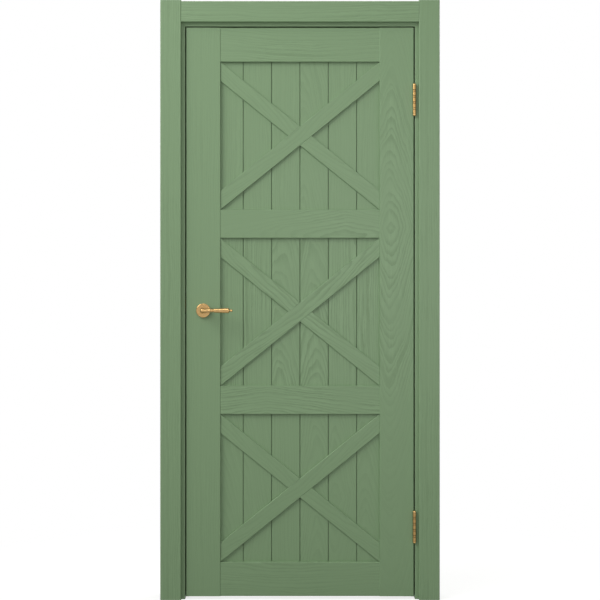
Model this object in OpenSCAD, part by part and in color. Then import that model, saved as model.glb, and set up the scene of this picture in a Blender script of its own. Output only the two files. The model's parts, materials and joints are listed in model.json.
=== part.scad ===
// Interior door set: a stile-and-rail leaf with three boarded, cross-braced panels,
// hung on two bearing hinges in a rebated frame that has casings on both sides.
// Millimetres. X runs along the wall, Y goes through it (the front is -Y), Z is up.
// The origin is on the floor, midway across the leaf and in the middle of its thickness.

/* [Leaf] */
// Width of the leaf
leaf_w = 800; // [700:5:1000]
// Height of the leaf
leaf_h = 2000; // [1900:5:2300]
// Thickness of the leaf
leaf_t = 40; // [38:1:48]
// Width of the two stiles
stile_w = 120; // [115:1:150]
// Height of the top and bottom rails
end_rail_h = 120; // [90:1:200]
// Height of the two middle rails
middle_rail_h = 100; // [80:1:160]
// How far the faces of the rails lie behind those of the stiles
rail_setback = 1.5; // [0.5:0.1:3]
// Rounding of the long edges of stiles and rails
edge_r = 2; // [0.5:0.1:3]
// Gap between the leaf and the floor
floor_gap = 10; // [5:1:20]
// Gap between the leaf and the frame
leaf_gap = 4; // [3:0.5:5]
// Diameter of the dowels that pin the rails to the stiles
dowel_d = 10; // [8:1:12]
// Length of a dowel on each side of the shoulder of its rail
dowel_reach = 50; // [30:1:60]
// Distance between the two dowels of a rail end
dowel_spacing = 44; // [30:1:50]

/* [Panels] */
// Thickness of the boards
board_t = 16; // [12:1:18]
// Distance between the grooves of the boarding
board_pitch = 100; // [80:5:140]
// Chamfer on the edges of a board, one side of the V groove
board_chamfer = 1.5; // [0.5:0.1:3]
// Open joint at the bottom of the V groove
board_joint = 1; // [0.5:0.1:1.5]
// Length of the tongue of a board
tongue_l = 5; // [3:0.5:8]
// Thickness of the tongue of a board
tongue_t = 5; // [3:0.5:6]
// How deep the boards and the rail tongues sit in their grooves
seat_d = 10; // [6:1:14]
// Width of a brace
brace_w = 52; // [40:1:70]
// Thickness of a brace
brace_t = 8; // [6:0.5:10]
// Rounding of the front edges of a brace
brace_r = 1.5; // [0.5:0.1:3]

/* [Frame] */
// Depth of the frame through the wall
jamb_depth = 75; // [70:1:120]
// Thickness of the frame with its stop
jamb_t = 38; // [36:1:50]
// How far the stop stands out from the rebate
stop_w = 12; // [10:0.5:15]
// Room for the seal between the stop and the leaf
stop_gap = 3; // [2.5:0.1:4]
// Rounding of the edges of the frame
frame_r = 1.5; // [0.5:0.1:3]
// Width of the lip of the seal
seal_w = 8; // [6:0.5:10]
// Thickness of the stem of the seal
seal_stem_t = 3; // [2:0.1:4]
// Length of the stem of the seal
seal_stem_l = 6; // [4:0.5:8]

/* [Casing] */
// Width of a casing
casing_w = 73; // [50:1:100]
// Thickness of a casing
casing_t = 16; // [10:1:20]
// Rounding of the front edges of a casing
casing_r = 3; // [1:0.5:5]
// Face of the frame that the casing leaves bare
casing_reveal = 13; // [10:1:18]
// How far the side casings rise above the head casing
casing_rise = 4; // [0:1:20]
// Thickness of the tongue that holds a casing in the frame
casing_tongue_t = 4; // [3:0.5:5]
// Length of the tongue that holds a casing in the frame
casing_tongue_l = 11; // [8:0.5:14]

/* [Hinges] */
// Height of a hinge without its caps
hinge_h = 100; // [90:1:130]
// Distance from the top of the leaf to the middle of the upper hinge
hinge_drop = 255; // [150:1:300]
// Distance from the bottom of the leaf to the middle of the lower hinge
hinge_rise = 245; // [150:1:300]
// Diameter of the knuckles
knuckle_d = 12.5; // [11:0.1:16]
// Diameter of the hinge pin
pin_d = 6; // [5:0.1:7]
// Width of a hinge plate in the edge of the leaf or frame
plate_w = 28; // [24:1:32]
// Thickness of a hinge plate
plate_t = 2.5; // [2:0.1:3.5]
// Rounding of the inner corners of a hinge plate
plate_r = 6; // [2:0.5:10]
// Height of the room for a bearing ring between two knuckles
bearing_h = 6.5; // [3:0.5:8]
// Height of the cap at each end of a hinge
cap_h = 8; // [5:0.5:14]

/* [Handle] */
// Height of the handle above the floor
handle_z = 1015; // [950:1:1100]
// Distance from the edge of the leaf to the axis of the handle
backset = 60; // [50:1:62]
// Diameter of the rose
rose_d = 50; // [48:1:56]
// Thickness of the rose
rose_t = 9; // [8:0.5:12]
// Distance from the leaf to the axis of the grip
lever_out = 48; // [44:1:60]
// Length of the lever from the axis of the handle to its tip
lever_l = 106; // [95:1:130]
// Diameter of the lever where it turns in the rose
journal_d = 18; // [17:0.5:20]
// Diameter of the grip at its thick end
grip_d = 17.8; // [15:0.1:20]
// Diameter of the neck at its thinnest
neck_d = 10.8; // [8:0.1:13]
// Diameter of the elbow
elbow_d = 14.4; // [12:0.1:16]
// Diameter of the ball at the tip
ball_d = 9.4; // [7:0.1:11]
// Width of the square spindle
spindle_w = 8; // [7:0.5:9]
// Distance between the bolts of the roses
rose_bolt_spacing = 38; // [36:1:40]

/* [Lock] */
// Thickness of the lock case
case_t = 16; // [14:0.5:18]
// Depth of the lock case behind its forend
case_d = 75; // [72:1:80]
// Height of the lock case below the axis of the handle
case_below = 40; // [30:1:60]
// Height of the lock case above the axis of the handle
case_above = 60; // [50:1:80]
// Width of the forend
forend_w = 20; // [18:1:24]
// Thickness of the forend
forend_t = 3; // [2:0.1:4]
// How far the forend runs past the lock case at each end
forend_end = 40; // [30:1:60]
// Height of the middle of the bolt above the axis of the handle
bolt_rise = 25; // [24:1:34]
// Width of the bolt
bolt_w = 11; // [9:0.5:13]
// Height of the bolt
bolt_h = 26; // [18:1:28]
// Length of the bolt
bolt_l = 44; // [30:1:50]
// Travel of the bolt
bolt_travel = 12; // [8:0.5:14]
// Width of the strike plate
strike_w = 22; // [20:1:26]
// Height of the strike plate
strike_h = 76; // [60:1:100]
// Thickness of the strike plate
strike_t = 2; // [1.5:0.1:3]
// Thickness of the magnet behind the strike plate
magnet_t = 4; // [3:0.5:6]

/* [Hidden] */
$fn = 64;
margin = 2;
// Clearances: boards in grooves, wood pieces, metal in its mortise, screws, turning fits, knuckles
board_fit = 0.15;
wood_fit = 0.2;
metal_fit = 0.2;
screw_fit = 0.1;
turn_fit = 0.1;
pin_fit = 0.05;
knuckle_fit = 0.3;
seal_fit = 0.3;
bolt_fit = 0.2;
socket_fit = 0.1;
// Spare depth behind boards and casing tongues in their grooves
groove_spare = 2;
casing_groove_spare = 1;

paint = [0.50, 0.59, 0.46];
gold = [0.80, 0.66, 0.42];
steel = [0.66, 0.66, 0.66];
beech = [0.80, 0.65, 0.45];
black = [0.12, 0.12, 0.12];

// Leaf
front = -leaf_t / 2;
back = leaf_t / 2;
half_leaf = leaf_w / 2;
leaf_bottom = floor_gap;
leaf_top = floor_gap + leaf_h;
// Panels, with a rail below and above each; rails are counted from the floor
panels = 3;
opening_w = leaf_w - 2 * stile_w;
opening_h = (leaf_h - 2 * end_rail_h - (panels - 1) * middle_rail_h) / panels;
half_opening = opening_w / 2;
groove_d = seat_d + groove_spare;
groove_w = board_t + 2 * board_fit;
rail_t = leaf_t - 2 * rail_setback;
panel_pitch = opening_h + middle_rail_h;
first_opening = leaf_bottom + end_rail_h;
board_pairs = max(1, round(half_opening / board_pitch));
board_face = board_t / 2;
brace_face = board_face + brace_t;
brace_lap = board_face + brace_t / 2;
brace_a = acos(brace_w / norm([opening_w, opening_h])) - atan2(opening_w, opening_h);
brace_l = opening_w / cos(brace_a) + 2 * brace_w;

// Frame
rebate_x = half_leaf + leaf_gap;
stop_x = rebate_x - stop_w;
jamb_x = stop_x + jamb_t;
rebate_z = leaf_top + leaf_gap;
stop_z = rebate_z - stop_w;
head_z = stop_z + jamb_t;
stop_y = back + stop_gap;
jamb_back = front + jamb_depth;
seal_u = (stop_w - seal_w) / 2;
seal_stem_u = seal_u + (seal_w - seal_stem_t) / 2;
corner_screw_z = (rebate_z + head_z) / 2;
// Distance of the screws of a mitre from the front and back of the frame
corner_screw_inset = 20;
corner_screw_ys = [front + corner_screw_inset, jamb_back - corner_screw_inset];
corner_screw_l = 60;
corner_screw_d = 4.5;
corner_screw_head = 9;

// Casing
casing_x = rebate_x + casing_reveal;
casing_z = rebate_z + casing_reveal;
casing_top = casing_z + casing_w + casing_rise;
// Wood between the groove of a casing and the back of the frame, and the tongue's place in the casing
casing_groove_wall = 4;
casing_tongue_u = jamb_x - casing_groove_wall - casing_tongue_t - casing_x;
casing_groove_u = casing_x - stop_x + casing_tongue_u - wood_fit;

// Hinges
// Gap between the knuckles and the face of the leaf
knuckle_gap = 0.75;
axis_x = half_leaf + leaf_gap / 2;
axis_y = front - knuckle_d / 2 - knuckle_gap;
hinge_zs = [leaf_bottom + hinge_rise, leaf_top - hinge_drop];
// Knuckles of a hinge, and those of its two plates, counted from the bottom
knuckle_count = 5;
frame_knuckles = [0, 2, 4];
leaf_knuckles = [1, 3];
knuckle_l = (hinge_h - (knuckle_count - 1) * bearing_h) / knuckle_count;
knuckle_pitch = knuckle_l + bearing_h;
// Chamfer at the ends of the knuckles and of the bearing rings
knuckle_chamfer = 0.8;
bearing_gap = 0.3;
// How far the pin goes into its two caps, and the straight part of a cap
cap_socket = 5;
pin_into_cap = 1;
cap_band = 3;
hinge_screw_d = 4;
hinge_screw_head = 8;
frame_screw_l = 17;
leaf_screw_l = 32;
// Places of the screws of a plate: from the face of the leaf, from the middle of the hinge
hinge_screws = [[9, -38], [20, -13], [9, 13], [20, 38]];

// Handle
handle_x = -half_leaf + backset;
journal_r = journal_d / 2;
rose_r = rose_d / 2;
rose_wall = 1.8;
rose_base_t = 6;
rose_collar_t = 2.5;
rose_collar_w = 2;
rose_collar_chamfer = 1;
rose_edge_r = 3;
rose_bolt_d = 4;
rose_bolt_head = 7.6;
// Room around the rose bolts and the follower where they pass the leaf
rose_bolt_room = 0.5;
follower_d = 18;
follower_room = 2;
spindle_reach = 24;
spindle_spare = 1;
// Stem of the lever: free of the leaf, straight to the end of its journal, straight again at the elbow
journal_gap = 1;
journal_end = 18;
stem_r = 6.3;
stem_straight = 12;
// Grub screw: its distance from the face of the leaf and from the skin of the journal
grub_d = 5;
grub_h = 15;
grub_sink = 0.5;
// Grip of the lever: places along it from the axis of the handle, and radii there
elbow_blend = 0.2;
neck_x = 19;
swell_x = 28.5;
swell_r = 7;
swell_edge = 0.6;
waist_r = 4.8;
bead_x = 34.4;
bead_r = 3;
bead_sink = 0.4;
grip_x = 40.5;
grip_start_r = 7.2;
grip_lip = 1;
grip_end_r = 3.2;
// Room for the neck between the grip and the ball at its tip
tip_neck_l = 7;
tip_neck_r = 3.4;
tip_neck_start = 2;
ball_start = -55;

// Lock
forend_x = -half_leaf;
case_x = forend_x + forend_t;
bolt_z = handle_z + bolt_rise;
case_mid = handle_z + (case_above - case_below) / 2;
forend_h = case_below + case_above + 2 * forend_end;
forend_r = 4;
bolt_chamfer = 1;
bolt_room = 1;
lock_screw_d = 4;
lock_screw_head = 7.5;
lock_screw_l = 30;
lock_screw_end = 14;
lock_screw_z = forend_h / 2 - lock_screw_end;
strike_r = 4;
strike_hole_fit = 2.2;
pocket_fit = 3;
pocket_spare = 2;
pocket_d = bolt_travel - leaf_gap + magnet_t + pocket_spare;
strike_screw_end = 10;
strike_screw_z = strike_h / 2 - strike_screw_end;
strike_screw_l = 20;

// Points of outlines: an eased line from p to q, and an arc about c
function eased(p, q, n) = [
    for (i = [0:n]) [p[0] + (q[0] - p[0]) * (1 - cos(180 * i / n)) / 2, p[1] + (q[1] - p[1]) * i / n]
];
function arc(c, r, a, b, n) = [
    for (i = [0:n]) let (t = a + (b - a) * i / n) [c[0] + r * cos(t), c[1] + r * sin(t)]
];
// Height of the bottom of an opening, counted from the lowest
function opening_z(i) = first_opening + i * panel_pitch;
// Height of the bottom of a knuckle above the middle of its hinge
function knuckle_z(k) = k * knuckle_pitch - hinge_h / 2;

// Extrusions: the outline lies in YZ and runs along X, or lies in XZ and runs along Y
module along_x(length) {
    rotate([90, 0, 90])
        linear_extrude(length)
            children();
}
module along_y(length) {
    rotate([90, 0, 0])
        linear_extrude(length, center = true)
            children();
}
module swapped() {
    mirror([1, -1])
        children();
}
module left() {
    mirror([1, 0, 0])
        children();
}
module at_back() {
    mirror([0, 1, 0])
        children();
}
// The far face of the frame, for the back casings
module behind_frame() {
    translate([0, front + jamb_back, 0])
        mirror([0, 1, 0])
            children();
}
// Rectangle with four round corners
module soft_rect(w, h, r) {
    translate([r, 0])
        square([w - 2 * r, h]);
    translate([0, r])
        square([w, h - 2 * r]);
    for (x = [r, w - r], y = [r, h - r])
        translate([x, y])
            circle(r);
}
// Rectangle with two round corners, on its low side in Y
module front_soft_rect(w, h, r) {
    soft_rect(w, h, r);
    translate([0, h / 2])
        square([w, h / 2]);
}
// Countersunk screw along +X from its flush head, grown by a clearance
module screw(length, d, head, fit) {
    rotate([0, 90, 0]) {
        cylinder(h = length + fit, d = d + 2 * fit);
        cylinder(h = (head - d) / 2, d1 = head + 2 * fit, d2 = d + 2 * fit);
    }
}
// Cutter for the hole of such a screw, open at the head
module screw_hole(length, d, head) {
    screw(length, d, head, screw_fit);
    translate([-margin, 0, 0])
        rotate([0, 90, 0])
            cylinder(h = margin, d = head + 2 * screw_fit);
}

// Stiles, rails and dowels
module stile_profile() {
    difference() {
        translate([half_opening, front])
            soft_rect(stile_w, leaf_t, edge_r);
        translate([half_opening - margin, -groove_w / 2])
            square([groove_d + margin, groove_w]);
    }
}
function rail_bottom(i) = i == 0 ? leaf_bottom : opening_z(i - 1) + opening_h;
function rail_top(i) = i == panels ? leaf_top : opening_z(i);
function rail_mid(i) = (rail_bottom(i) + rail_top(i)) / 2;
module dowel(i, side, up, fit) {
    x = side > 0 ? half_opening - dowel_reach - fit : -half_opening - dowel_reach - fit;
    translate([x, 0, rail_mid(i) + up * dowel_spacing / 2])
        rotate([0, 90, 0])
            cylinder(h = 2 * (dowel_reach + fit), d = dowel_d + 2 * fit);
}
module dowel_holes(side) {
    for (i = [0:panels], up = [-1, 1])
        dowel(i, side, up, screw_fit);
}
module stile() {
    translate([0, 0, leaf_bottom])
        linear_extrude(leaf_h)
            stile_profile();
}
module rail(i) {
    low = i == 0 ? 0 : groove_d;
    high = i == panels ? 0 : groove_d;
    z0 = rail_bottom(i);
    z1 = rail_top(i);
    difference() {
        union() {
            translate([-half_opening, 0, 0])
                along_x(opening_w)
                    translate([-rail_t / 2, z0])
                        soft_rect(rail_t, z1 - z0, edge_r);
            translate([-half_opening - seat_d, -board_t / 2, z0 + low])
                cube([opening_w + 2 * seat_d, board_t, z1 - z0 - low - high]);
        }
        translate([-half_opening - margin, -groove_w / 2, z0 - margin])
            cube([opening_w + 2 * margin, groove_w, low + margin]);
        translate([-half_opening - margin, -groove_w / 2, z1 - high])
            cube([opening_w + 2 * margin, groove_w, high + margin]);
        dowel_holes(1);
        dowel_holes(-1);
    }
}
module lock_stile() {
    color(paint)
        difference() {
            left()
                stile();
            dowel_holes(-1);
            lock_mortise();
        }
}
module hinge_stile() {
    color(paint)
        difference() {
            stile();
            dowel_holes(1);
            for (z = hinge_zs) {
                translate([half_leaf - plate_t, 0, z])
                    plate_mortise();
                leaf_screws(z, true);
            }
        }
}
module top_rail() {
    color(paint)
        rail(panels);
}
module upper_middle_rail() {
    color(paint)
        rail(2);
}
module lower_middle_rail() {
    color(paint)
        rail(1);
}
module bottom_rail() {
    color(paint)
        rail(0);
}
module rail_dowels() {
    color(beech)
        for (i = [0:panels], side = [-1, 1], up = [-1, 1])
            dowel(i, side, up, 0);
}

// Boards: tongue on the right edge, groove on the left, V joints on both faces
module board_profile(x0, x1, first, last) {
    f = board_face;
    c = board_chamfer;
    t = tongue_t / 2;
    g = t + board_fit;
    deep = tongue_l - board_joint + board_fit * 2;
    right = last ? [[x1, -f], [x1, f]] : [
        [x1 - c, -f], [x1, c - f], [x1, -t], [x1 + tongue_l, -t],
        [x1 + tongue_l, t], [x1, t], [x1, f - c], [x1 - c, f]
    ];
    left = first ? [[x0, f], [x0, -f]] : [
        [x0 + c, f], [x0, f - c], [x0, g], [x0 + deep, g],
        [x0 + deep, -g], [x0, -g], [x0, c - f], [x0 + c, -f]
    ];
    polygon(concat(right, left));
}
module boards(i) {
    edge = half_opening + seat_d;
    gap = board_joint / 2;
    translate([0, 0, opening_z(i) - seat_d])
        linear_extrude(opening_h + 2 * seat_d)
            for (k = [-board_pairs:board_pairs - 1]) {
                first = k == -board_pairs;
                last = k == board_pairs - 1;
                board_profile(
                    first ? -edge : k * board_pitch + gap,
                    last ? edge : (k + 1) * board_pitch - gap,
                    first, last
                );
            }
}
module upper_boards() {
    color(paint)
        boards(2);
}
module middle_boards() {
    color(paint)
        boards(1);
}
module lower_boards() {
    color(paint)
        boards(0);
}

// Braces: half-lapped where they cross, the rising one in front
module brace_bar(a) {
    rotate([0, -a, 0])
        translate([-brace_l / 2, 0, 0])
            along_x(brace_l)
                translate([-brace_face, -brace_w / 2])
                    swapped()
                        front_soft_rect(brace_w, brace_t, brace_r);
}
module brace_cut(a, y0, y1) {
    rotate([0, -a, 0])
        translate([-brace_l / 2, y0, -brace_w / 2])
            cube([brace_l, y1 - y0, brace_w]);
}
module brace(i, rising) {
    a = rising ? brace_a : -brace_a;
    color(paint)
        translate([0, 0, opening_z(i) + opening_h / 2])
            intersection() {
                difference() {
                    brace_bar(a);
                    if (rising)
                        brace_cut(-a, -brace_lap, margin - board_face);
                    else
                        brace_cut(-a, -brace_face - margin, -brace_lap);
                }
                cube([opening_w - 2 * wood_fit, leaf_t, opening_h], center = true);
            }
}
module front_upper_brace_rising() {
    brace(2, true);
}
module front_upper_brace_falling() {
    brace(2, false);
}
module front_middle_brace_rising() {
    brace(1, true);
}
module front_middle_brace_falling() {
    brace(1, false);
}
module front_lower_brace_rising() {
    brace(0, true);
}
module front_lower_brace_falling() {
    brace(0, false);
}
module back_upper_brace_rising() {
    at_back()
        brace(2, true);
}
module back_upper_brace_falling() {
    at_back()
        brace(2, false);
}
module back_middle_brace_rising() {
    at_back()
        brace(1, true);
}
module back_middle_brace_falling() {
    at_back()
        brace(1, false);
}
module back_lower_brace_rising() {
    at_back()
        brace(0, true);
}
module back_lower_brace_falling() {
    at_back()
        brace(0, false);
}

// Frame: one rebated section, mitred at the head. Its outline starts at the face of the stop.
module jamb_profile() {
    deep = casing_tongue_l + casing_groove_spare;
    difference() {
        union() {
            translate([stop_w, front])
                soft_rect(jamb_t - stop_w, jamb_depth, frame_r);
            translate([0, stop_y])
                soft_rect(jamb_t, jamb_back - stop_y, frame_r);
        }
        for (y = [front - margin, jamb_back - deep])
            translate([casing_groove_u, y])
                square([casing_tongue_t + 2 * wood_fit, deep + margin]);
        translate([seal_stem_u - board_fit, stop_y - margin])
            square([seal_stem_t + 2 * board_fit, seal_stem_l + margin + seal_fit]);
    }
}
module corner_screw_places() {
    for (y = corner_screw_ys)
        translate([jamb_x, y, corner_screw_z])
            mirror([1, 0, 0])
                children();
}
module corner_screw_holes() {
    corner_screw_places()
        screw_hole(corner_screw_l, corner_screw_d, corner_screw_head);
}
module jamb() {
    difference() {
        translate([stop_x, 0, 0])
            linear_extrude(head_z)
                jamb_profile();
        along_y(4 * jamb_depth)
            polygon([
                [stop_x - margin, stop_z - margin], [jamb_x + margin, head_z + margin],
                [stop_x - margin, head_z + margin]
            ]);
        corner_screw_holes();
    }
}
module hinge_jamb() {
    color(paint)
        difference() {
            jamb();
            for (z = hinge_zs) {
                translate([rebate_x, 0, z])
                    plate_mortise();
                frame_screws(z, true);
            }
        }
}
module strike_jamb() {
    color(paint)
        difference() {
            left()
                jamb();
            strike_mortise();
        }
}
module head_jamb() {
    color(paint)
        difference() {
            translate([-jamb_x, 0, 0])
                along_x(2 * jamb_x)
                    translate([0, stop_z])
                        swapped()
                            jamb_profile();
            for (side = [0, 1])
                mirror([side, 0, 0]) {
                    along_y(4 * jamb_depth)
                        polygon([
                            [stop_x - margin, stop_z - margin], [jamb_x + margin, head_z + margin],
                            [jamb_x + margin, stop_z - margin]
                        ]);
                    corner_screw_holes();
                }
        }
}
module frame_corner_screws() {
    color(steel)
        for (side = [0, 1])
            mirror([side, 0, 0])
                corner_screw_places()
                    screw(corner_screw_l, corner_screw_d, corner_screw_head, 0);
}

// Casings: a flat board with a tongue in the groove of the frame
module casing_profile() {
    translate([0, front - casing_t])
        front_soft_rect(casing_w, casing_t, casing_r);
}
module casing_tongue() {
    translate([casing_tongue_u, front - casing_t / 2])
        square([casing_tongue_t, casing_t / 2 + casing_tongue_l]);
}
module side_casing() {
    color(paint)
        translate([casing_x, 0, 0]) {
            linear_extrude(casing_top)
                casing_profile();
            linear_extrude(casing_z)
                casing_tongue();
        }
}
module head_casing() {
    color(paint)
        translate([-casing_x, 0, casing_z])
            along_x(2 * casing_x)
                swapped() {
                    casing_profile();
                    casing_tongue();
                }
}
module front_casing_left() {
    left()
        side_casing();
}
module front_casing_right() {
    side_casing();
}
module front_casing_head() {
    head_casing();
}
module back_casing_left() {
    behind_frame()
        left()
            side_casing();
}
module back_casing_right() {
    behind_frame()
        side_casing();
}
module back_casing_head() {
    behind_frame()
        head_casing();
}

// Seals
module seal_lip() {
    translate([seal_u, back + seal_fit])
        soft_rect(seal_w, stop_gap - seal_fit, (stop_gap - seal_fit) / 3);
}
module seal_stem() {
    translate([seal_stem_u, stop_y - stop_gap / 2])
        square([seal_stem_t, stop_gap / 2 + seal_stem_l]);
}
module side_seal() {
    color(black)
        translate([stop_x, 0, 0])
            linear_extrude(stop_z + seal_u) {
                seal_lip();
                seal_stem();
            }
}
module seal_strike_side() {
    left()
        side_seal();
}
module seal_hinge_side() {
    side_seal();
}
module seal_head() {
    lip = stop_x + seal_u + seal_w;
    stem = stop_x + seal_u;
    color(black)
        translate([0, 0, stop_z]) {
            translate([-lip, 0, 0])
                along_x(2 * lip)
                    swapped()
                        seal_lip();
            translate([-stem, 0, 0])
                along_x(2 * stem)
                    swapped()
                        seal_stem();
        }
}

// Hinges: the knuckles of the two plates take turns on one pin
module plate_outline(y0, y1, h, r) {
    translate([y0, -h / 2])
        square([y1 - y0 - r, h]);
    translate([y0, r - h / 2])
        square([y1 - y0, h - 2 * r]);
    for (z = [r - h / 2, h / 2 - r])
        translate([y1 - r, z])
            circle(r);
}
module plate_mortise() {
    along_x(plate_t)
        plate_outline(front - margin, front + plate_w + metal_fit, hinge_h + 2 * metal_fit, plate_r);
}
module hinge_axis(z) {
    translate([axis_x, axis_y, z])
        children();
}
module turned_ring(bore, r, h) {
    c = knuckle_chamfer;
    rotate_extrude()
        polygon([[bore, 0], [r - c, 0], [r, c], [r, h - c], [r - c, h], [bore, h]]);
}
module knuckles(z, which) {
    hinge_axis(z)
        for (k = which)
            translate([0, 0, knuckle_z(k)])
                turned_ring(0, knuckle_d / 2, knuckle_l);
}
// Room around the knuckles of the other plate
module knuckle_room(z, which) {
    hinge_axis(z)
        for (k = which)
            translate([0, 0, knuckle_z(k) - bearing_h])
                cylinder(h = knuckle_l + 2 * bearing_h, d = knuckle_d + 2 * knuckle_fit);
}
module pin_bore(z) {
    hinge_axis(z)
        cylinder(h = hinge_h + margin, d = pin_d + 2 * pin_fit, center = true);
}
module frame_screws(z, hole) {
    for (s = hinge_screws)
        translate([rebate_x, front + s[0], z + s[1]])
            if (hole)
                screw_hole(frame_screw_l, hinge_screw_d, hinge_screw_head);
            else
                screw(frame_screw_l, hinge_screw_d, hinge_screw_head, 0);
}
module leaf_screws(z, hole) {
    for (s = hinge_screws)
        translate([half_leaf, front + s[0], z + s[1]])
            mirror([1, 0, 0])
                if (hole)
                    screw_hole(leaf_screw_l, hinge_screw_d, hinge_screw_head);
                else
                    screw(leaf_screw_l, hinge_screw_d, hinge_screw_head, 0);
}
module hinge_frame_plate(z) {
    color(gold)
        difference() {
            union() {
                translate([rebate_x, 0, z])
                    along_x(plate_t)
                        plate_outline(axis_y, front + plate_w, hinge_h, plate_r);
                knuckles(z, frame_knuckles);
            }
            knuckle_room(z, leaf_knuckles);
            pin_bore(z);
            frame_screws(z, true);
        }
}
module hinge_leaf_plate(z) {
    color(gold)
        difference() {
            union() {
                translate([half_leaf - plate_t, 0, z])
                    along_x(plate_t)
                        plate_outline(axis_y, front + plate_w, hinge_h, plate_r);
                knuckles(z, leaf_knuckles);
            }
            knuckle_room(z, frame_knuckles);
            pin_bore(z);
            leaf_screws(z, true);
        }
}
module upper_hinge_frame_plate() {
    hinge_frame_plate(hinge_zs[1]);
}
module lower_hinge_frame_plate() {
    hinge_frame_plate(hinge_zs[0]);
}
module upper_hinge_leaf_plate() {
    hinge_leaf_plate(hinge_zs[1]);
}
module lower_hinge_leaf_plate() {
    hinge_leaf_plate(hinge_zs[0]);
}
module cap_dome() {
    r = knuckle_d / 2;
    rise = cap_h - cap_band;
    rotate_extrude()
        polygon(concat(
            [[0, 0], [r, 0]],
            [for (a = [0:9:81]) [r * cos(a), cap_band + rise * sin(a)]],
            [[0, cap_h]]
        ));
}
module hinge_pins() {
    color(gold)
        for (z = hinge_zs)
            hinge_axis(z) {
                translate([0, 0, -hinge_h / 2 - cap_socket])
                    cylinder(h = hinge_h + cap_socket + pin_into_cap, d = pin_d);
                translate([0, 0, hinge_h / 2])
                    cap_dome();
            }
}
module hinge_pin_caps() {
    color(gold)
        for (z = hinge_zs)
            hinge_axis(z)
                translate([0, 0, -hinge_h / 2])
                    mirror([0, 0, 1])
                        difference() {
                            cap_dome();
                            translate([0, 0, -margin])
                                cylinder(h = cap_socket + pin_fit + margin, d = pin_d + 2 * pin_fit);
                        }
}
module hinge_bearings() {
    color(gold)
        for (z = hinge_zs, k = [0:knuckle_count - 2])
            hinge_axis(z)
                translate([0, 0, knuckle_z(k) + knuckle_l + bearing_gap])
                    turned_ring(pin_d / 2 + pin_fit, knuckle_d / 2 - knuckle_fit, bearing_h - 2 * bearing_gap);
}
module frame_hinge_screws() {
    color(gold)
        for (z = hinge_zs)
            frame_screws(z, false);
}
module leaf_hinge_screws() {
    color(gold)
        for (z = hinge_zs)
            leaf_screws(z, false);
}

// Lock: a closed case with a channel for the bolt and a bore for the follower
module plate_blank(t, w, h, r, fit) {
    translate([0, -w / 2 - fit, -h / 2 - fit])
        along_x(t)
            soft_rect(w + 2 * fit, h + 2 * fit, r + fit);
}
module forend(t, fit) {
    translate([forend_x + forend_t - t, 0, case_mid])
        plate_blank(t, forend_w, forend_h, forend_r, fit);
}
module case_box(fit) {
    translate([case_x, -case_t / 2 - fit, handle_z - case_below - fit])
        cube([case_d + fit, case_t + 2 * fit, case_below + case_above + 2 * fit]);
}
module lock_screw_places() {
    for (s = [-1, 1])
        translate([forend_x, 0, case_mid + s * lock_screw_z])
            children();
}
module bolt_space() {
    translate([forend_x - margin, -bolt_w / 2 - bolt_fit, bolt_z - bolt_h / 2 - bolt_fit])
        cube([bolt_l + margin + bolt_room, bolt_w + 2 * bolt_fit, bolt_h + 2 * bolt_fit]);
}
module handle_axis() {
    translate([handle_x, 0, handle_z])
        rotate([90, 0, 0])
            children();
}
module rose_bolt_axes() {
    for (s = [-1, 1])
        translate([0, 0, s * rose_bolt_spacing / 2])
            handle_axis()
                children();
}
module lock_mortise() {
    forend(forend_t + margin, metal_fit);
    case_box(metal_fit);
    lock_screw_places()
        screw_hole(lock_screw_l, lock_screw_d, lock_screw_head);
    handle_axis()
        cylinder(h = leaf_t + 2 * margin, d = follower_d + 2 * follower_room, center = true);
    rose_bolt_axes()
        cylinder(h = leaf_t + 2 * margin, d = rose_bolt_d + 2 * rose_bolt_room, center = true);
}
module lock_case() {
    color(steel)
        difference() {
            case_box(0);
            bolt_space();
            handle_axis()
                cylinder(h = case_t + 2 * margin, d = follower_d + 2 * turn_fit, center = true);
            rose_bolt_axes()
                cylinder(h = case_t + 2 * margin, d = rose_bolt_d + 2 * rose_bolt_room, center = true);
        }
}
module lock_forend() {
    color(gold)
        difference() {
            forend(forend_t, 0);
            bolt_space();
            lock_screw_places()
                screw_hole(lock_screw_l, lock_screw_d, lock_screw_head);
        }
}
module lock_screws() {
    color(gold)
        lock_screw_places()
            screw(lock_screw_l, lock_screw_d, lock_screw_head, 0);
}
module latch_bolt() {
    w = bolt_w / 2;
    c = bolt_chamfer;
    color(gold)
        translate([forend_x, 0, bolt_z - bolt_h / 2])
            linear_extrude(bolt_h)
                polygon([[0, c - w], [c, -w], [bolt_l, -w], [bolt_l, w], [c, w], [0, w - c]]);
}
module strike_screw_places() {
    for (s = [-1, 1])
        translate([-rebate_x, 0, bolt_z + s * strike_screw_z])
            mirror([1, 0, 0])
                children();
}
module strike_blank(t, fit) {
    translate([-rebate_x - strike_t, 0, bolt_z])
        plate_blank(t, strike_w, strike_h, strike_r, fit);
}
module strike_mortise() {
    strike_blank(strike_t + margin, metal_fit);
    translate([-rebate_x - strike_t - pocket_d, -bolt_w / 2 - pocket_fit, bolt_z - bolt_h / 2 - pocket_fit])
        cube([pocket_d + margin, bolt_w + 2 * pocket_fit, bolt_h + 2 * pocket_fit]);
    strike_screw_places()
        screw_hole(strike_screw_l, lock_screw_d, lock_screw_head);
}
module strike_plate() {
    color(gold)
        difference() {
            strike_blank(strike_t, 0);
            translate([
                -rebate_x - strike_t - margin, -bolt_w / 2 - strike_hole_fit,
                bolt_z - bolt_h / 2 - strike_hole_fit
            ])
                cube([
                    strike_t + 2 * margin, bolt_w + 2 * strike_hole_fit, bolt_h + 2 * strike_hole_fit
                ]);
            strike_screw_places()
                screw_hole(strike_screw_l, lock_screw_d, lock_screw_head);
        }
}
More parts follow.
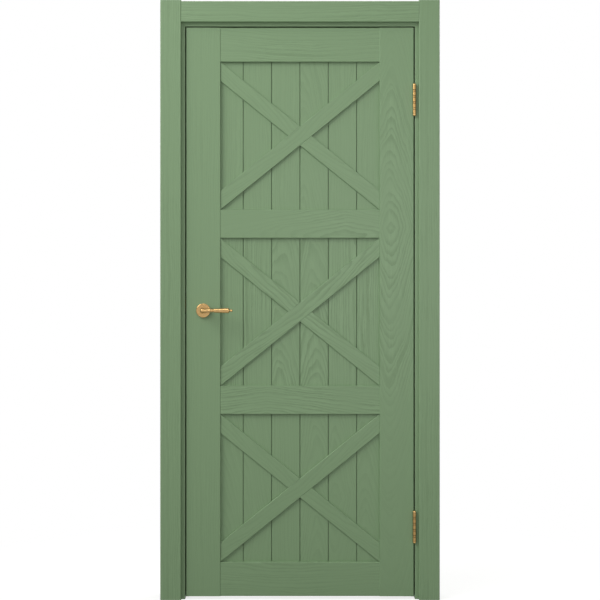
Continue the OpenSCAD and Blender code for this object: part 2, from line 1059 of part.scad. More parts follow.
module strike_magnet() {
    fit = pocket_fit - wood_fit;
    color(steel)
        translate([-rebate_x - strike_t - pocket_d, -bolt_w / 2 - fit, bolt_z - bolt_h / 2 - fit])
            cube([magnet_t, bolt_w + 2 * fit, bolt_h + 2 * fit]);
}
module strike_screws() {
    color(gold)
        strike_screw_places()
            screw(strike_screw_l, lock_screw_d, lock_screw_head, 0);
}

// Roses: a cover on a base, the bases bolted to each other through the leaf
module on_front() {
    translate([handle_x, front, handle_z])
        rotate([90, 0, 0])
            children();
}
module rose() {
    hole = journal_r + turn_fit;
    inner = rose_r - rose_wall;
    rim = hole + rose_collar_w;
    collar = rose_t + rose_collar_t;
    color(gold)
        on_front()
            rotate_extrude()
                polygon(concat(
                    [[inner, 0], [rose_r, 0]],
                    arc([rose_r - rose_edge_r, rose_t - rose_edge_r], rose_edge_r, 0, 90, 8),
                    [[rim, rose_t]],
                    [[rim, collar - rose_collar_chamfer], [rim - rose_collar_chamfer, collar]],
                    [[hole, collar], [hole, rose_base_t + turn_fit], [inner, rose_base_t + turn_fit]]
                ));
}
module rose_base() {
    color(steel)
        difference() {
            on_front()
                difference() {
                    cylinder(h = rose_base_t, r = rose_r - rose_wall - turn_fit);
                    translate([0, 0, -margin])
                        cylinder(h = rose_base_t + 2 * margin, r = journal_r + turn_fit);
                }
            rose_bolt_axes() {
                cylinder(h = 2 * leaf_t, d = rose_bolt_d + 2 * screw_fit, center = true);
                translate([0, 0, leaf_t / 2 + rose_base_t / 2])
                    cylinder(h = rose_base_t, d = rose_bolt_head + 2 * screw_fit);
            }
        }
}
module front_rose() {
    rose();
}
module back_rose() {
    at_back()
        rose();
}
module rose_bases() {
    rose_base();
    at_back()
        rose_base();
}
module rose_bolts() {
    end = leaf_t / 2 + rose_base_t;
    color(steel)
        rose_bolt_axes() {
            translate([0, 0, -end])
                cylinder(h = 2 * end - rose_base_t / 2, d = rose_bolt_d);
            translate([0, 0, end - rose_base_t / 2])
                cylinder(h = rose_base_t / 2, d = rose_bolt_head);
        }
}

// Levers: a turned stem, a ball elbow and a turned grip with a bead and a ball tip
module lever_stem() {
    rotate_extrude()
        polygon(concat(
            [[0, journal_gap], [journal_r, journal_gap]],
            eased([journal_r, journal_end], [stem_r, lever_out - stem_straight], 10),
            [[stem_r, lever_out], [0, lever_out]]
        ));
}
module lever_grip() {
    neck_r = neck_d / 2;
    elbow_r = elbow_d / 2 - elbow_blend;
    grip_r = grip_d / 2;
    ball_r = ball_d / 2;
    end_x = lever_l - ball_d - tip_neck_l;
    rotate([0, 90, 0])
        rotate_extrude()
            polygon(concat(
                [[0, 0]],
                eased([elbow_r, 0], [neck_r, neck_x], 10),
                eased([neck_r, neck_x], [swell_r, swell_x], 8),
                [[waist_r, swell_x + swell_edge]],
                arc([waist_r - bead_sink, bead_x], bead_r, -90, 90, 10),
                [[waist_r, grip_x - grip_lip]],
                eased([grip_start_r, grip_x], [grip_r, end_x], 12),
                arc([grip_r - grip_end_r, end_x + grip_lip], grip_end_r, 0, 90, 8),
                [[tip_neck_r, end_x + grip_lip + grip_end_r + tip_neck_start]],
                arc([0, lever_l - ball_r], ball_r, ball_start, 90, 12)
            ));
}
module lever() {
    color(gold)
        difference() {
            on_front() {
                lever_stem();
                translate([0, 0, lever_out]) {
                    sphere(d = elbow_d);
                    rotate([-90, 0, 0])
                        lever_grip();
                }
            }
            on_front()
                translate([0, 0, spindle_reach / 2])
                    cube(
                        [
                            spindle_w + 2 * socket_fit, spindle_w + 2 * socket_fit,
                            spindle_reach + 2 * spindle_spare
                        ],
                        center = true
                    );
            grub_hole();
        }
}
module grub_hole() {
    translate([handle_x, front - grub_h, handle_z - journal_r - margin])
        cylinder(h = journal_r + margin - spindle_w / 2 + screw_fit, d = grub_d + 2 * screw_fit);
}
module front_lever() {
    lever();
}
module back_lever() {
    at_back()
        lever();
}
module spindle() {
    color(steel)
        translate([handle_x, 0, handle_z])
            cube([spindle_w, leaf_t + 2 * spindle_reach, spindle_w], center = true);
}
module follower() {
    color(steel)
        difference() {
            handle_axis()
                cylinder(h = case_t, d = follower_d, center = true);
            translate([handle_x, 0, handle_z])
                cube(
                    [spindle_w + 2 * socket_fit, case_t + margin, spindle_w + 2 * socket_fit],
                    center = true
                );
        }
}
module lever_grub_screws() {
    color(steel) {
        grub_screw();
        at_back()
            grub_screw();
    }
}
module grub_screw() {
    translate([handle_x, front - grub_h, handle_z - journal_r + grub_sink])
        cylinder(h = journal_r - grub_sink - spindle_w / 2, d = grub_d);
}

strike_jamb();
hinge_jamb();
head_jamb();
front_casing_left();
front_casing_right();
front_casing_head();
back_casing_left();
back_casing_right();
back_casing_head();
seal_strike_side();
seal_hinge_side();
seal_head();
strike_plate();
strike_magnet();
strike_screws();
upper_hinge_frame_plate();
lower_hinge_frame_plate();
hinge_pins();
hinge_pin_caps();
hinge_bearings();
frame_hinge_screws();
frame_corner_screws();
lock_stile();
hinge_stile();
top_rail();
upper_middle_rail();
lower_middle_rail();
bottom_rail();
rail_dowels();
upper_boards();
middle_boards();
lower_boards();
front_upper_brace_rising();
front_upper_brace_falling();
front_middle_brace_rising();
front_middle_brace_falling();
front_lower_brace_rising();
front_lower_brace_falling();
back_upper_brace_rising();
back_upper_brace_falling();
back_middle_brace_rising();
back_middle_brace_falling();
back_lower_brace_rising();
back_lower_brace_falling();
lock_case();
lock_forend();
lock_screws();
front_rose();
back_rose();
rose_bases();
rose_bolts();
upper_hinge_leaf_plate();
lower_hinge_leaf_plate();
leaf_hinge_screws();
front_lever();
back_lever();
spindle();
follower();
lever_grub_screws();
latch_bolt();
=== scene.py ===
# Looks of an interior door set: ash under sage green paint, satin brass fittings, a black seal.
# Metres. X runs along the wall, Y goes through it (the front is -Y), Z is up.
import json
import math
from itertools import product

import bmesh
import bpy
from mathutils import Matrix, Vector


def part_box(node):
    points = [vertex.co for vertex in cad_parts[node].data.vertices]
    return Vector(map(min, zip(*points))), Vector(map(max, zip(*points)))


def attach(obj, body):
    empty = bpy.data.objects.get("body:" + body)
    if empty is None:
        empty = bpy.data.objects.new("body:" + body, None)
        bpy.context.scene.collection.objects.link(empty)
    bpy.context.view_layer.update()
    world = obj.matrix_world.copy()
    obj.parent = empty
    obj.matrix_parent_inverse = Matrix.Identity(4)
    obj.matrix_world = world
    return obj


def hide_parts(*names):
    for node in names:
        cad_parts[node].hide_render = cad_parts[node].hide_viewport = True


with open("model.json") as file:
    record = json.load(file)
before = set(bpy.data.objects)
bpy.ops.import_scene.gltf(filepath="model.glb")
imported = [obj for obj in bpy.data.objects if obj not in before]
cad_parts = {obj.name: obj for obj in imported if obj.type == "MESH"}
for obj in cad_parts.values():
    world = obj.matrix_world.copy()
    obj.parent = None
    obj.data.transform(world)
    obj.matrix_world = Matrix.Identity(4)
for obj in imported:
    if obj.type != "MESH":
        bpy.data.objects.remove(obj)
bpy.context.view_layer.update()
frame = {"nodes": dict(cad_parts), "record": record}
nodes = frame["nodes"]
joints = {joint["name"]: joint for joint in frame["record"]["behaviour"]["joints"]}
slot_of = {part["node"]: part["material_slot"] for part in frame["record"]["subparts"]}

# Sizes that the frame doesn't state
BOARD_PITCH = 0.100
BRACE_WIDTH = 0.052
KNUCKLE_RADIUS = 0.00625
RING_RADIUS = 0.00595

# Depths below a hinge's barrel at which the painted shade in its grooves begins, and at which it is full
GROOVE_SHADE_BEGINS = 0.00008
GROOVE_SHADE_COVERS = 0.00016

# Grain of the ash. The rings are wide for ash and uneven, so that they show from across a room
RING_SPACING = 0.009
# Sizes across, through and along the grain
STREAK = (0.005, 0.005, 0.09)
PORE = (0.0015, 0.0015, 0.02)
FIBRE_SWAY = (0.028, 0.028, 0)
# How far apart in the tree two boards of a panel may come from
BOARD_SPREAD = (0.30, 0.04, 0.8)
# Counts in a metre across, through and along the grain
BENDS = (16, 16, 5)
THIN_PATCHES = (9, 9, 4)
# Weights of early wood and open pores in the tone of the wood, and the tone of the plain paint
EARLY_WOOD_WEIGHT = 0.45
PORE_WEIGHT = 0.40
PLAIN_TONE = 0.4

# The drive of a screw, as shares of its head's radius, and how much narrower the drive is at its bottom
DRIVE_WIDTH = 0.55
DRIVE_DEPTH = 0.45
DRIVE_TAPER = 0.6

# Axes that screws lie along, and the ways that they are driven: away from the origin or towards it
X_AXIS = 0
Z_AXIS = 2
OUTWARDS = 1
INWARDS = -1

# Radius of the floor, and the distances from the origin between which it fades to white
FLOOR_RADIUS = 6.0
FADE_BEGINS = 0.5
FADE_ENDS = 1.6


def linear(colour):
    """Linear RGBA of an sRGB hex colour."""
    values = [int(colour[i:i + 2], 16) / 255 for i in (1, 3, 5)]
    return [v / 12.92 if v <= 0.04045 else ((v + 0.055) / 1.055) ** 2.4 for v in values] + [1.0]


def add(tree, kind, inputs=None, output=0, **settings):
    """Adds a shader node with its settings and gives one of its outputs. An input that is a socket is
    linked, and any other value is set."""
    node = tree.nodes.new("ShaderNode" + kind)
    for key, value in settings.items():
        setattr(node, key, value)
    for key, value in (inputs or {}).items():
        if isinstance(value, bpy.types.NodeSocket):
            tree.links.new(value, node.inputs[key])
        else:
            node.inputs[key].default_value = value
    return node.outputs[output] if node.outputs else None


def start_material(name):
    """An empty material, its tree and the Object coordinates on it."""
    material = bpy.data.materials.new(name)
    material.use_nodes = True
    tree = material.node_tree
    tree.nodes.clear()
    return material, tree, add(tree, "TexCoord", output="Object")


def end_material(tree, inputs):
    """The shader of a material and its output."""
    add(tree, "OutputMaterial", {"Surface": add(tree, "BsdfPrincipled", inputs)})


def dress(names, material):
    """Gives CAD nodes a material."""
    for name in names:
        slots = nodes[name].data.materials
        slots.clear()
        slots.append(material)


# Painted ash
def cut_boards(tree, place, grain, taper, seed):
    """Takes each board of a panel from another place in the tree: its own grain coordinates and taper. A
    board that is cut beside the heart has straight grain."""
    across = add(tree, "SeparateXYZ", {"Vector": place}, "X")
    count = add(tree, "Math", {0: across, 1: BOARD_PITCH}, operation="DIVIDE")
    number = add(tree, "Math", {0: count}, operation="FLOOR")
    draw = add(tree, "Math", {0: number, 1: seed}, operation="ADD")
    luck = add(tree, "TexWhiteNoise", {"W": draw}, "Color", noise_dimensions="1D")
    edge = add(tree, "CombineXYZ", {"X": number})
    inside = add(tree, "VectorMath", {0: edge, 1: (-BOARD_PITCH, 0, 0), 2: grain}, operation="MULTIPLY_ADD")
    moved = add(tree, "VectorMath", {0: luck, 1: BOARD_SPREAD, 2: inside}, operation="MULTIPLY_ADD")
    cut = add(tree, "SeparateXYZ", {"Vector": luck}, "X")
    side = add(tree, "Math", {0: cut, 1: 0.5}, operation="SUBTRACT")
    beside = add(tree, "Math", {0: side}, operation="ABSOLUTE")
    slope = add(tree, "MapRange", {
        "Value": beside, "From Min": 0.12, "From Max": 0.22, "To Min": taper, "To Max": 0.0,
    })
    return moved, slope


def growth_rings(tree, fibre, pith, slope):
    """Early wood of the growth rings, which lie as nested cones about the pith, and the distance along the
    grain from its centre."""
    from_pith = add(tree, "VectorMath", {0: fibre, 1: (1, 1, 0), 2: (*pith, 0)}, operation="MULTIPLY_ADD")
    radius = add(tree, "VectorMath", {0: from_pith}, "Value", operation="LENGTH")
    along = add(tree, "SeparateXYZ", {"Vector": fibre}, "Z")
    away = add(tree, "Math", {0: along}, operation="ABSOLUTE")
    cone = add(tree, "Math", {0: away, 1: slope, 2: radius}, operation="MULTIPLY_ADD")
    year = add(tree, "Math", {0: cone, 1: 1 / RING_SPACING}, operation="MULTIPLY")
    season = add(tree, "TexNoise", {"W": year, "Scale": 0.45, "Detail": 1.0}, noise_dimensions="1D")
    ring = add(tree, "Math", {0: season, 1: 2.2, 2: year}, operation="MULTIPLY_ADD")
    growth = add(tree, "Math", {0: ring}, operation="FRACT")
    early_wood = add(
        tree, "MapRange", {"Value": growth, "From Min": 0.3, "From Max": 0.95},
        interpolation_type="SMOOTHSTEP",
    )
    return early_wood, away


def paint_joint_shade(tree, place, paint):
    """Darkens the joints between boards, 2 to 3 mm wide: painted shade where the grooves lie in shadow, and
    where the brush reached least.
    """
    across = add(tree, "SeparateXYZ", {"Vector": place}, "X")
    from_joint = add(tree, "Math", {0: across, 1: BOARD_PITCH / 2}, operation="PINGPONG")
    # Painted shade, strongest in the middle of each joint
    joint_shade = add(tree, "MapRange", {
        "Value": from_joint, "From Min": 0.0010, "From Max": 0.0016, "To Min": 0.45, "To Max": 0.0,
    })
    return add(tree, "Mix", {"Factor": joint_shade, "A": paint, "B": linear("#3A4934")}, "Result", data_type="RGBA")


def painted_ash(
    name, centre, turn=0.0, pith=(0.15, 0.03), taper=0.0, figure=0.5, reach=None, boards=False, seed=0.0
):
    """Ash veneer under two coats of satin paint: one sage green, with the growth rings and open pores of the
    wood still showing through as faint darker lines where the paint is thin. The grain runs along Z before
    the turn about Y. pith is where the heart of the tree lies, across and behind the face, and taper is how
    much a ring of the tree narrows along it, which draws the arches of flat-sawn wood away from the centre.
    figure is how strongly the wood shows, and reach is how far along the grain from the centre it does so
    before the paint covers it. boards takes each board of a panel from another place in the tree."""
    material, tree, place = start_material(name)
    turned = {"Vector": place, "Location": centre, "Rotation": (0, turn, 0)}
    grain = add(tree, "Mapping", turned, vector_type="TEXTURE")
    slope = taper
    if boards:
        grain, slope = cut_boards(tree, place, grain, taper, seed)
    # The fibres wander by a few millimetres over a hand's length
    bends = add(tree, "VectorMath", {0: grain, 1: BENDS, 2: (seed, seed, seed)}, operation="MULTIPLY_ADD")
    bend = add(tree, "TexNoise", {"Vector": bends, "Scale": 1.0, "Detail": 3.0}, "Color")
    fibre = add(tree, "VectorMath", {0: bend, 1: FIBRE_SWAY, 2: grain}, operation="MULTIPLY_ADD")
    early_wood, away = growth_rings(tree, fibre, pith, slope)
    # Streaks all over, and pores that are open in the early wood
    streaks = add(tree, "VectorMath", {0: fibre, 1: [1 / size for size in STREAK]}, operation="MULTIPLY")
    streak = add(tree, "TexNoise", {"Vector": streaks, "Scale": 1.0, "Detail": 3.0, "Roughness": 0.6})
    pores = add(tree, "VectorMath", {0: fibre, 1: [1 / size for size in PORE]}, operation="MULTIPLY")
    line = add(tree, "TexNoise", {"Vector": pores, "Scale": 1.0, "Detail": 1.0})
    pore = add(tree, "MapRange", {"Value": line, "From Min": 0.52, "From Max": 0.66})
    open_pore = add(tree, "Math", {0: pore, 1: early_wood}, operation="MULTIPLY")
    # The paint is thinner in patches a hand wide, and there the wood shows most
    patches = add(
        tree, "VectorMath", {0: grain, 1: THIN_PATCHES, 2: (seed, 0, seed)}, operation="MULTIPLY_ADD"
    )
    patch = add(tree, "TexNoise", {"Vector": patches, "Scale": 1.0, "Detail": 2.0})
    thin = add(
        tree, "MapRange",
        {"Value": patch, "From Min": 0.38, "From Max": 0.62, "To Min": 0.35 * figure, "To Max": figure},
        interpolation_type="SMOOTHSTEP",
    )
    if reach:
        cover = add(
            tree, "MapRange",
            {"Value": away, "From Min": 0.8 * reach, "From Max": 1.2 * reach, "To Min": 1.0, "To Max": 0.3},
            interpolation_type="SMOOTHSTEP",
        )
        thin = add(tree, "Math", {0: thin, 1: cover}, operation="MULTIPLY")
    # Depth of tone: streaks, early wood and open pores together
    banded = add(tree, "Math", {0: early_wood, 1: EARLY_WOOD_WEIGHT, 2: streak}, operation="MULTIPLY_ADD")
    tone = add(tree, "Math", {0: open_pore, 1: PORE_WEIGHT, 2: banded}, operation="MULTIPLY_ADD")
    depth = add(tree, "MapRange", {
        "Value": tone, "From Min": 0.30, "From Max": 1.20, "To Min": -PLAIN_TONE, "To Max": 1 - PLAIN_TONE,
    })
    shown = add(tree, "Math", {0: depth, 1: thin, 2: PLAIN_TONE}, operation="MULTIPLY_ADD")
    tones = {"Factor": shown, "A": linear("#809C75"), "B": linear("#69835E")}
    paint = add(tree, "Mix", tones, "Result", data_type="RGBA")
    # Painted shade in the joints between boards
    if boards:
        paint = paint_joint_shade(tree, place, paint)
    gloss = add(tree, "MapRange", {"Value": shown, "To Min": 0.42, "To Max": 0.56})
    relief = add(tree, "Bump", {"Height": shown, "Strength": 0.4, "Distance": 0.0002}, invert=True)
    end_material(tree, {"Base Color": paint, "Roughness": gloss, "Normal": relief})
    return material


# Metals, rubber and raw wood
def paint_groove_shade(tree, place, colour, barrel):
    """Painted shade in the turned grooves of a hinge, below the radius of its barrel."""
    pin = joints["leaf_swing"]["pos_m"]
    from_pin = add(tree, "VectorMath", {0: place, 1: pin}, operation="SUBTRACT")
    level = add(tree, "VectorMath", {0: from_pin, 1: (1, 1, 0)}, operation="MULTIPLY")
    radius = add(tree, "VectorMath", {0: level}, "Value", operation="LENGTH")
    groove_shade_factor = add(tree, "MapRange", {
        "Value": radius, "From Min": barrel - GROOVE_SHADE_COVERS, "From Max": barrel - GROOVE_SHADE_BEGINS,
        "To Min": 0.95, "To Max": 0.0,
    })
    return add(tree, "Mix", {"Factor": groove_shade_factor, "A": colour, "B": linear("#2E2414")}, "Result", data_type="RGBA")


def satin_brass(name, deep, pale, barrel=None):
    """Brass, brushed and lacquered: a warm metal with soft, slightly streaked and cloudy reflections,
    between a deep and a pale tone. On a hinge, barrel is the radius of its barrel, and the turned grooves
    below it are darkened with painted shade."""
    material, tree, place = start_material(name)
    strokes = add(
        tree, "VectorMath", {0: place, 1: (1 / 0.004, 1 / 0.0004, 1 / 0.0004)}, operation="MULTIPLY"
    )
    brush = add(tree, "TexNoise", {"Vector": strokes, "Scale": 1.0, "Detail": 2.0})
    cloud = add(tree, "TexNoise", {"Vector": place, "Scale": 1 / 0.012, "Detail": 2.0})
    tones = {"Factor": cloud, "A": linear(deep), "B": linear(pale)}
    colour = add(tree, "Mix", tones, "Result", data_type="RGBA")
    # Painted shade in the grooves of a hinge
    if barrel:
        colour = paint_groove_shade(tree, place, colour, barrel)
    gloss = add(tree, "MapRange", {"Value": brush, "To Min": 0.16, "To Max": 0.30})
    relief = add(tree, "Bump", {"Height": brush, "Strength": 0.12, "Distance": 0.00005})
    end_material(tree, {"Base Color": colour, "Metallic": 1.0, "Roughness": gloss, "Normal": relief})
    return material


def zinc_steel():
    """Rolled steel with a bright zinc plating: a cool grey metal with a faint, cloudy bloom."""
    material, tree, place = start_material("zinc_plated_steel")
    bloom = add(tree, "TexNoise", {"Vector": place, "Scale": 1 / 0.006, "Detail": 4.0, "Roughness": 0.6})
    tones = {"Factor": bloom, "A": linear("#A9ADB0"), "B": linear("#C6C9C8")}
    colour = add(tree, "Mix", tones, "Result", data_type="RGBA")
    gloss = add(tree, "MapRange", {"Value": bloom, "To Min": 0.28, "To Max": 0.48})
    end_material(tree, {"Base Color": colour, "Metallic": 1.0, "Roughness": gloss})
    return material


def seal_rubber():
    """Extruded black EPDM: matt, nearly black, with fine upright draw lines."""
    material, tree, place = start_material("epdm_seal")
    lines = add(tree, "VectorMath", {0: place, 1: (1 / 0.0008, 1 / 0.0008, 1 / 0.03)}, operation="MULTIPLY")
    draw = add(tree, "TexNoise", {"Vector": lines, "Scale": 1.0, "Detail": 2.0})
    tones = {"Factor": draw, "A": linear("#171817"), "B": linear("#2A2B2A")}
    colour = add(tree, "Mix", tones, "Result", data_type="RGBA")
    gloss = add(tree, "MapRange", {"Value": draw, "To Min": 0.62, "To Max": 0.8})
    relief = add(tree, "Bump", {"Height": draw, "Strength": 0.3, "Distance": 0.0001})
    end_material(tree, {"Base Color": colour, "Roughness": gloss, "Normal": relief})
    return material


def raw_beech():
    """Turned beech: pale pinkish brown with short darker rays along the grain."""
    material, tree, place = start_material("raw_beech")
    rays = add(tree, "VectorMath", {0: place, 1: (1 / 0.004, 1 / 0.0006, 1 / 0.0006)}, operation="MULTIPLY")
    ray = add(tree, "TexNoise", {"Vector": rays, "Scale": 1.0, "Detail": 2.0})
    tones = {"Factor": ray, "A": linear("#D9B483"), "B": linear("#B98C5B")}
    colour = add(tree, "Mix", tones, "Result", data_type="RGBA")
    end_material(tree, {"Base Color": colour, "Roughness": 0.6})
    return material


# Leaf, frame and casings: one paint, the grain along each piece
def middle(name):
    """Middle of a CAD node's box."""
    low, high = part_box(name)
    return (Vector(low) + Vector(high)) / 2


def paint_uprights():
    """Jambs, lock stile and side casings have straight grain. The hinge stile is cut through the heart, with
    an eye above its middle."""
    figures = {"strike_jamb": 0.3, "hinge_jamb": 0.3, "lock_stile": 0.3}
    figures |= {f"{side}_casing_{end}": 0.55 for side in ("front", "back") for end in ("left", "right")}
    for i, (name, figure) in enumerate(figures.items()):
        dress([name], painted_ash(f"painted_ash_{name}", middle(name), figure=figure, seed=i * 3.1))
    eye = middle("hinge_stile") + Vector((0, 0, 0.295))
    dress(["hinge_stile"], painted_ash(
        "painted_ash_hinge_stile", eye, pith=(0.008, 0.035), taper=0.24, figure=0.8, reach=0.55, seed=4.3,
    ))


def paint_levels():
    """Head, head casings and rails, with the grain turned level."""
    # How far the eye of the grain lies from the middle, along and up, and its taper, figure and reach
    grains = {
        "head_jamb": (0.0, 0.06, 0.04, 0.6, None),
        "front_casing_head": (0.0, 0.06, 0.04, 0.7, None),
        "back_casing_head": (0.0, 0.06, 0.04, 0.7, None),
        "top_rail": (0.05, 0.10, 0.06, 0.8, None),
        "upper_middle_rail": (0.16, -0.055, 0.14, 0.75, 0.28),
        "lower_middle_rail": (-0.12, -0.09, 0.10, 1.0, None),
        "bottom_rail": (0.0, 0.06, 0.04, 0.5, None),
    }
    for i, (name, (along, up, taper, figure, reach)) in enumerate(grains.items()):
        eye = middle(name) + Vector((along, 0, up))
        dress([name], painted_ash(
            f"painted_ash_{name}", eye, math.pi / 2, pith=(0.0, 0.04), taper=taper, figure=figure,
            reach=reach, seed=40 + i * 2.3,
        ))


def paint_panels():
    """Boards and braces. The wood shows most in the middle panel."""
    low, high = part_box("front_upper_brace_rising")
    span = Vector((high[0] - low[0], high[2] - low[2]))
    rise = math.acos(BRACE_WIDTH / span.length) - math.atan2(span.x, span.y)
    turns = {"rising": math.pi / 2 - rise, "falling": math.pi / 2 + rise}
    number = 0
    # The middle seed puts two boards from the heart of the tree in the middle of their panel
    for place, figure, seed in (("upper", 0.35, 0.0), ("middle", 0.9, 329.0), ("lower", 0.4, 34.0)):
        name = f"{place}_boards"
        dress([name], painted_ash(
            f"painted_ash_{name}", middle(name), pith=(-0.20, 0.01), taper=0.16, figure=figure, boards=True,
            seed=seed,
        ))
        for side, way in product(("front", "back"), turns):
            name = f"{side}_{place}_brace_{way}"
            number += 1
            dress([name], painted_ash(
                f"painted_ash_{name}", middle(name), turns[way], pith=(0.02, 0.03), taper=0.08,
                figure=figure, seed=80 + number * 1.9,
            ))


paint_uprights()
paint_levels()
paint_panels()

# Fittings, by the record's material slots. The hinges take a darker copy of the brass as painted shade, with
# painted shade in their grooves
finish_of = {
    "satin_gold": satin_brass("satin_brass", "#AB8A58", "#BC9C6B"),
    "zinc_steel": zinc_steel(),
    "black_seal": seal_rubber(),
    "beech": raw_beech(),
}
for node, slot in slot_of.items():
    if slot in finish_of:
        dress([node], finish_of[slot])
plates = [f"{place}_hinge_{side}_plate" for place in ("upper", "lower") for side in ("frame", "leaf")]
# Hinge plates and rings: a darker copy of the brass as painted shade, and painted shade in the turned
# grooves
dress(plates, satin_brass("shaded_brass_knuckle", "#967848", "#A7895B", KNUCKLE_RADIUS))
dress(["hinge_bearings"], satin_brass("shaded_brass_ring", "#967848", "#A7895B", RING_RADIUS))


# Screws with their drives, in place of the plain ones of the frame
def solids(name):
    """Lowest and highest corners of each separate solid of a CAD node."""
    shape = bmesh.new()
    shape.from_mesh(nodes[name].data)
    bmesh.ops.remove_doubles(shape, verts=shape.verts, dist=1e-6)
    waiting = set(shape.verts)
    boxes = []
    while waiting:
        fresh = {waiting.pop()}
        solid = set()
        while fresh:
            solid |= fresh
            fresh = {e.other_vert(v) for v in fresh for e in v.link_edges} & waiting
            waiting -= fresh
        boxes.append([Vector([pick(v.co[i] for v in solid) for i in range(3)]) for pick in (min, max)])
    shape.free()
    return sorted(boxes, key=lambda box: tuple(box[0]))


def make_screw(drive, rings, depth):
    """Mesh of a screw that runs down from a flush head at the origin. The drive is a cross of four arms or a
    hexagon, sunk by depth and narrower at its bottom, and each ring is a radius and how deep it lies."""
    shape = bmesh.new()
    width = rings[0][0] * DRIVE_WIDTH
    if drive == "cross":
        bmesh.ops.create_grid(shape, x_segments=3, y_segments=3, size=width)
        corners = [f for f in shape.faces if min(map(abs, f.calc_center_median().to_2d())) > width / 3]
        bmesh.ops.delete(shape, geom=corners, context="FACES")
    else:
        bmesh.ops.create_circle(shape, cap_ends=True, segments=6, radius=width)
    socket = shape.faces[:]
    for i, (radius, deep) in enumerate(rings):
        edges = [e for e in shape.edges if e.is_boundary]
        bmesh.ops.extrude_edge_only(shape, edges=edges)
        rim = [e for e in shape.edges if e.is_boundary]
        if i == 0:
            bmesh.ops.subdivide_edges(shape, edges=rim, cuts=3)
        for v in {v for e in shape.edges if e.is_boundary for v in e.verts}:
            v.co = (*(v.co.to_2d().normalized() * radius), -deep)
    bmesh.ops.contextual_create(shape, geom=[e for e in shape.edges if e.is_boundary])
    grown = bmesh.ops.extrude_face_region(shape, geom=socket)["geom"]
    floor = [v for v in grown if isinstance(v, bmesh.types.BMVert)]
    bmesh.ops.delete(shape, geom=socket, context="FACES")
    bmesh.ops.scale(shape, verts=floor, vec=(DRIVE_TAPER, DRIVE_TAPER, 1))
    bmesh.ops.translate(shape, verts=floor, vec=(0, 0, -depth))
    bmesh.ops.recalc_face_normals(shape, faces=shape.faces)
    mesh = bpy.data.meshes.new(f"{drive}_screw")
    shape.to_mesh(mesh)
    shape.free()
    return mesh


def fit_screws(node, body, axis, way, drive, shank):
    """One piece with a driven screw in place of each solid of a node. axis is the axis that they lie along,
    way is the way that they are driven, and shank is the diameter below their heads."""
    shape = bmesh.new()
    for low, high in solids(node):
        centre = (low + high) / 2
        size = high - low
        into = Vector((0, 0, 0))
        into[axis] = way * math.copysign(1, centre[axis])
        # No screw lies along Y, so its size there is the diameter of its head
        head = size.y / 2
        rings = [(head, 0), (shank / 2, head - shank / 2), (shank / 2, size[axis])]
        screw = make_screw(drive, rings if head > shank / 2 else rings[::2], head * DRIVE_DEPTH)
        count = len(shape.verts)
        shape.from_mesh(screw)
        shape.verts.ensure_lookup_table()
        turn = (-into).to_track_quat("Z", "Y").to_matrix().to_4x4()
        place = Matrix.Translation(centre - into * size[axis] / 2)
        bmesh.ops.transform(shape, matrix=place @ turn, verts=shape.verts[count:])
        bpy.data.meshes.remove(screw)
    mesh = bpy.data.meshes.new(f"driven_{node}")
    shape.to_mesh(mesh)
    shape.free()
    mesh.materials.append(finish_of[slot_of[node]])
    piece = bpy.data.objects.new(f"driven_{node}", mesh)
    bpy.context.scene.collection.objects.link(piece)
    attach(piece, body)
    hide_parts(node)


fit_screws("frame_hinge_screws", "frame", X_AXIS, OUTWARDS, "cross", 0.004)
fit_screws("strike_screws", "frame", X_AXIS, OUTWARDS, "cross", 0.004)
fit_screws("frame_corner_screws", "frame", X_AXIS, INWARDS, "cross", 0.0045)
fit_screws("leaf_hinge_screws", "leaf", X_AXIS, INWARDS, "cross", 0.004)
fit_screws("lock_screws", "leaf", X_AXIS, INWARDS, "cross", 0.004)
fit_screws("lever_grub_screws", "handle", Z_AXIS, OUTWARDS, "hexagon", 0.005)


# Floor, light and camera
def seen_rays(tree):
    """1 for the rays that show the surround, to the camera, in metal or through glass, and 0 for others."""
    rays = add(tree, "LightPath").node.outputs
    direct = add(tree, "Math", {0: rays["Is Camera Ray"], 1: rays["Is Glossy Ray"]}, operation="MAXIMUM")
    return add(tree, "Math", {0: direct, 1: rays["Is Transmission Ray"]}, operation="MAXIMUM")


def make_floor():
    """A pale floor that fades to white away from the door and keeps its shadow."""
    shape = bmesh.new()
    bmesh.ops.create_circle(shape, cap_ends=True, segments=64, radius=FLOOR_RADIUS)
    mesh = bpy.data.meshes.new("floor")
    shape.to_mesh(mesh)
    shape.free()
    floor = bpy.data.objects.new("floor", mesh)
    bpy.context.scene.collection.objects.link(floor)
    material, tree, place = start_material("pale_floor")
    reach = add(tree, "VectorMath", {0: place}, "Value", operation="LENGTH")
    far = add(
        tree, "MapRange", {"Value": reach, "From Min": FADE_BEGINS, "From Max": FADE_ENDS},
        interpolation_type="SMOOTHSTEP",
    )
    lit = add(tree, "BsdfDiffuse", {"Color": linear("#8E8E8C")})
    white = add(tree, "Emission", {"Strength": 1.0})
    glow = add(tree, "Emission", {"Strength": 0.76})
    near = add(tree, "AddShader", {0: lit, 1: glow})
    seen = add(tree, "MixShader", {0: far, 1: near, 2: white})
    both = add(tree, "MixShader", {0: seen_rays(tree), 1: lit, 2: seen})
    add(tree, "OutputMaterial", {"Surface": both})
    mesh.materials.append(material)


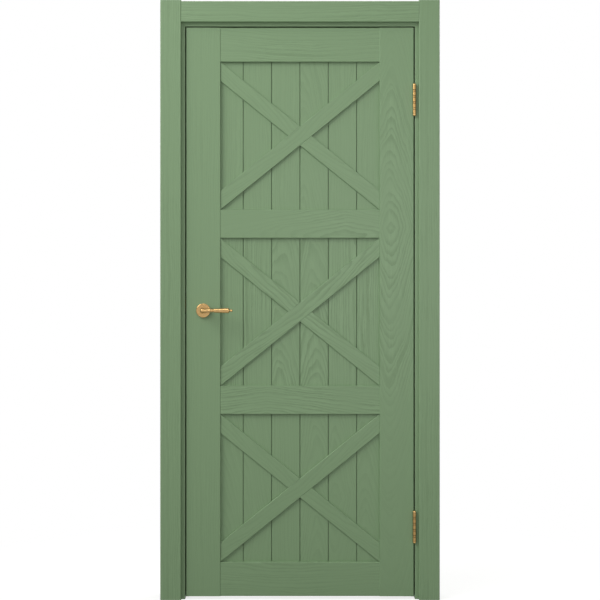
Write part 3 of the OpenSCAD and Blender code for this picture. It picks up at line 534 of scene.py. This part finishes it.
def make_world():
    """White to look at, and a soft level light on the object."""
    world = bpy.data.worlds.new("studio")
    bpy.context.scene.world = world
    world.use_nodes = True
    tree = world.node_tree
    tree.nodes.clear()
    fill = add(tree, "Background", {"Color": (1, 1, 1, 1), "Strength": 0.18})
    white = add(tree, "Background", {"Color": (1, 1, 1, 1), "Strength": 1.0})
    both = add(tree, "MixShader", {0: seen_rays(tree), 1: fill, 2: white})
    add(tree, "OutputWorld", {"Surface": both})


def make_lamp(name, place, target, width, height, power):
    """A rectangular soft box that faces its target."""
    lamp = bpy.data.lights.new(name, "AREA")
    lamp.shape = "RECTANGLE"
    lamp.size = width
    lamp.size_y = height
    lamp.energy = power
    box = bpy.data.objects.new(name, lamp)
    bpy.context.scene.collection.objects.link(box)
    box.location = place
    box.rotation_euler = (Vector(target) - Vector(place)).to_track_quat("-Z", "Y").to_euler()
    box.visible_camera = False


def make_camera():
    """The camera stands in front of the middle of the door, level, at half its height."""
    camera = bpy.data.cameras.new("camera")
    camera.sensor_fit = "HORIZONTAL"
    camera.sensor_width = 36.0
    camera.lens = 74.04
    holder = bpy.data.objects.new("camera", camera)
    bpy.context.scene.collection.objects.link(holder)
    holder.location = (0, -4.360, 1.052)
    holder.rotation_euler = (math.pi / 2, 0, 0)
    bpy.context.scene.camera = holder


make_floor()
make_world()
# Each face of the door has a large lamp from its upper left, a weak one in front and a strip over the lever
make_lamp("key", (-3.2, -2.2, 3.8), (0, 0, 1.2), 3.0, 3.0, 172)
make_lamp("front_fill", (0.6, -2.2, 1.4), (0, 0, 1.4), 1.5, 1.5, 13)
make_lamp("overhead", (-0.56, -1.59, 4.28), (-0.3, -0.07, 1.015), 0.6, 3.0, 19)
make_lamp("back_key", (3.2, 2.2, 3.8), (0, 0, 1.2), 3.0, 3.0, 168)
make_lamp("back_fill", (-0.6, 2.2, 1.4), (0, 0, 1.4), 1.5, 1.5, 13)
make_lamp("back_overhead", (-0.2, 1.59, 4.28), (-0.3, 0.07, 1.015), 0.6, 3.0, 19)
make_camera()
bpy.context.scene.view_settings.view_transform = "Standard"
